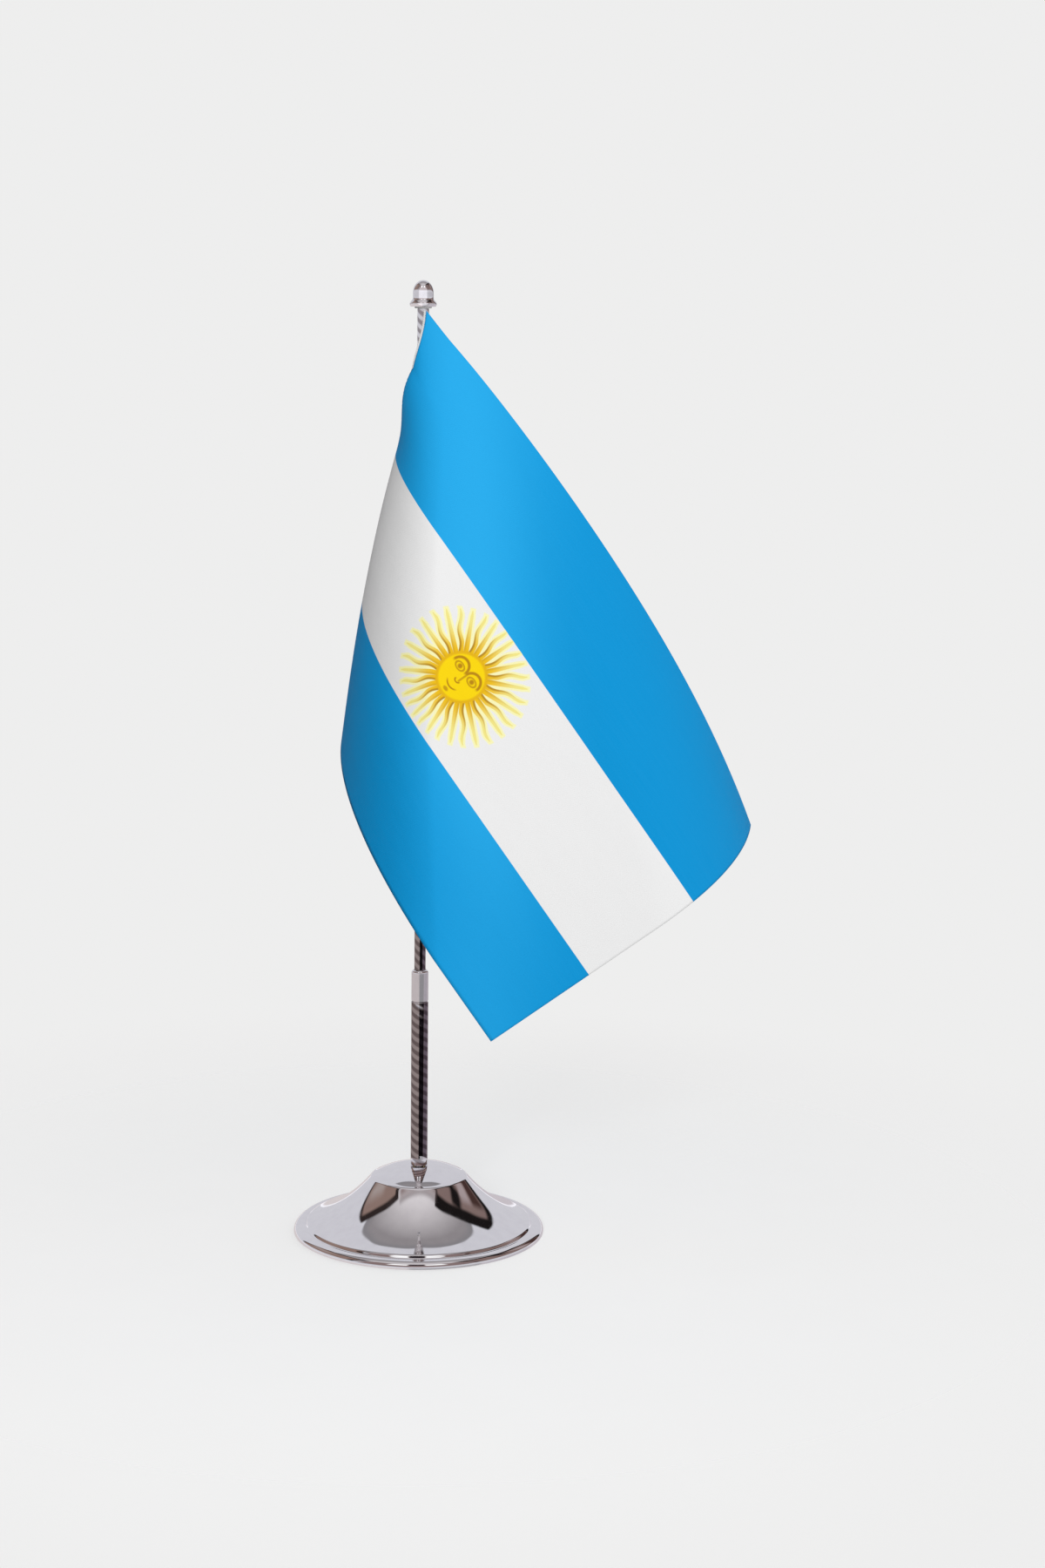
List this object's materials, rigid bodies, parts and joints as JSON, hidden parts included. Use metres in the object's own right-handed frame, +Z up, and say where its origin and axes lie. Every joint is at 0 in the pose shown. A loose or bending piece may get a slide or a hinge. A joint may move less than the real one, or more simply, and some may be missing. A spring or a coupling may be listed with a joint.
{
  "type": "desk flag stand",
  "caption": "Table flag stand: a bell-shaped polished base, a two-section telescoping pole with a small bell finial, and a striped satin flag hung from the top.",
  "frame": {"origin": "centre of the base pad's underside, on the desk, on the pole's axis", "axes": "+Z up along the pole, +X to the side the flag's fly edge hangs on, -Y towards the viewer of the flag's front"},
  "size_m": [0.1633, 0.09, 0.3383],
  "materials": {
    "chrome": "polished",
    "cast_iron": "as cast",
    "zinc_steel": "zinc plated",
    "brass": "turned",
    "nylon": "moulded",
    "felt": "felt",
    "satin": "satin",
    "white_thread": "matt"
  },
  "bodies": {
    "base": {"base_shell": "chrome", "ballast_casting": "cast_iron", "base_pad": "felt", "base_screw": "zinc_steel", "screw_washer": "zinc_steel", "spring_washer": "zinc_steel", "tube_plug": "brass", "lower_tube": "chrome", "tube_ferrule": "chrome", "guide_bush": "nylon"},
    "slider": {"friction_sleeve": "brass"},
    "rod": {"rod_foot": "brass", "stop_washer": "brass", "upper_rod": "chrome", "rod_tip": "brass", "finial": "chrome"},
    "flag": {"flag_cloth": "satin", "hoist_tape": "white_thread", "top_tie": "white_thread", "bottom_tie": "white_thread"}
  },
  "joints": [
    {"name": "rod_slide", "type": "slide", "parent": "base", "child": "slider", "axis": [0, 0, 1], "range_m": [-0.047, 0]},
    {"name": "rod_turn", "type": "hinge", "parent": "slider", "child": "rod", "pos_m": [0, 0, 0.0857], "axis": [0, 0, 1], "continuous": true},
    {"name": "flag_swivel", "type": "hinge", "parent": "rod", "child": "flag", "pos_m": [0, 0, 0.3287], "axis": [0, 0, 1], "continuous": true}
  ]
}
